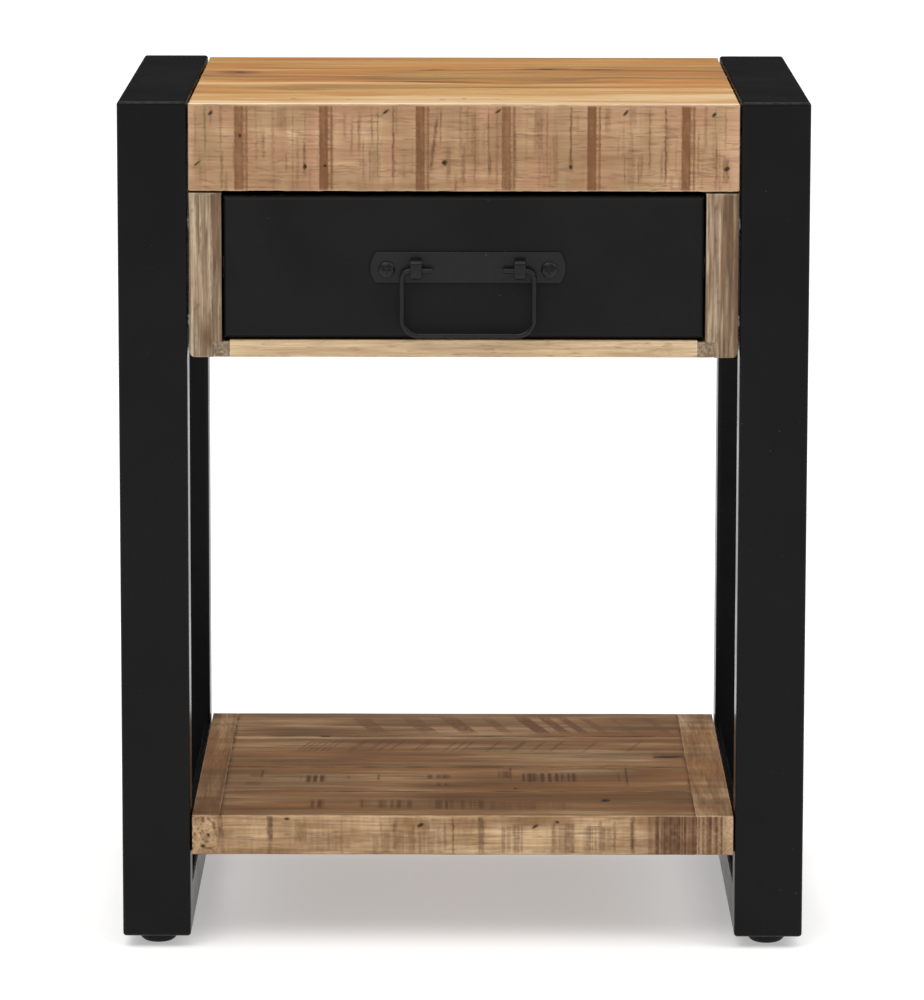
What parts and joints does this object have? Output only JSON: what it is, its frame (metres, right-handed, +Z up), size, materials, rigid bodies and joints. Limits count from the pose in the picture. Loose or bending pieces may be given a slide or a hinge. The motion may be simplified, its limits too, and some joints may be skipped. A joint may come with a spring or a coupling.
{
  "type": "side table",
  "caption": "Side table with black steel tube side frames, thick rough-sawn wooden top, sliding drawer with drop bail handle, and low wooden shelf.",
  "frame": {"origin": "on the floor, under the middle of the table's whole box, handle included", "axes": "+Z up, -Y towards the front of the drawer, +X to the right seen from the front"},
  "size_m": [0.4, 0.308, 0.5],
  "materials": {
    "black_steel": "satin black powder coat",
    "drawer_steel": "satin black powder coat, faintly blue",
    "handle_steel": "matt black",
    "zinc_steel": "zinc plated",
    "foot_plastic": "moulded matt black",
    "top_wood": "smooth, clear satin lacquer",
    "apron_wood": "rough sawn, clear lacquer",
    "side_wood": "planed, upright grain",
    "cleat_wood": "planed",
    "bottom_wood": "planed, clear lacquer",
    "runner_wood": "planed, waxed",
    "drawer_wood": "planed",
    "plywood": "sanded plywood",
    "shelf_wood": "rough sawn, clear lacquer",
    "shelf_end_wood": "rough sawn, clear lacquer"
  },
  "bodies": {
    "table": {"left_front_leg": "black_steel", "left_back_leg": "black_steel", "left_top_rail": "black_steel", "left_bottom_rail": "black_steel", "left_shelf_angle": "black_steel", "left_front_foot": "foot_plastic", "left_back_foot": "foot_plastic", "left_case_side": "side_wood", "left_corner_cleat": "cleat_wood", "left_runner": "runner_wood", "left_drawer_stop": "runner_wood", "left_shelf_end": "shelf_end_wood", "right_front_leg": "black_steel", "right_back_leg": "black_steel", "right_top_rail": "black_steel", "right_bottom_rail": "black_steel", "right_shelf_angle": "black_steel", "right_front_foot": "foot_plastic", "right_back_foot": "foot_plastic", "right_case_side": "side_wood", "right_corner_cleat": "cleat_wood", "right_runner": "runner_wood", "right_drawer_stop": "runner_wood", "right_shelf_end": "shelf_end_wood", "front_apron": "apron_wood", "back_apron": "apron_wood", "top_plank_front": "top_wood", "top_plank_middle": "top_wood", "top_plank_back": "top_wood", "case_bottom": "bottom_wood", "case_back": "bottom_wood", "case_bolts": "zinc_steel", "rivet_nuts": "zinc_steel", "runner_screws": "zinc_steel", "shelf_screws": "zinc_steel", "shelf_plank_1": "shelf_wood", "shelf_plank_2": "shelf_wood", "shelf_plank_3": "shelf_wood", "shelf_plank_4": "shelf_wood"},
    "drawer": {"drawer_face": "drawer_steel", "drawer_front_board": "drawer_wood", "left_drawer_side": "drawer_wood", "right_drawer_side": "drawer_wood", "drawer_back": "drawer_wood", "drawer_bottom": "plywood", "drawer_dowels": "drawer_wood", "drawer_corner_screws": "zinc_steel", "handle_plate": "handle_steel", "left_handle_post": "handle_steel", "right_handle_post": "handle_steel", "handle_screws": "handle_steel"},
    "bail": {"bail": "handle_steel"}
  },
  "joints": [
    {"name": "drawer_slide", "type": "slide", "parent": "table", "child": "drawer", "axis": [0, -1, 0], "range_m": [0, 0.2]},
    {"name": "bail_swing", "type": "hinge", "parent": "drawer", "child": "bail", "pos_m": [0.0025, -0.15096, 0.4028], "axis": [-1, 0, 0], "range_deg": [-7, 172]}
  ]
}
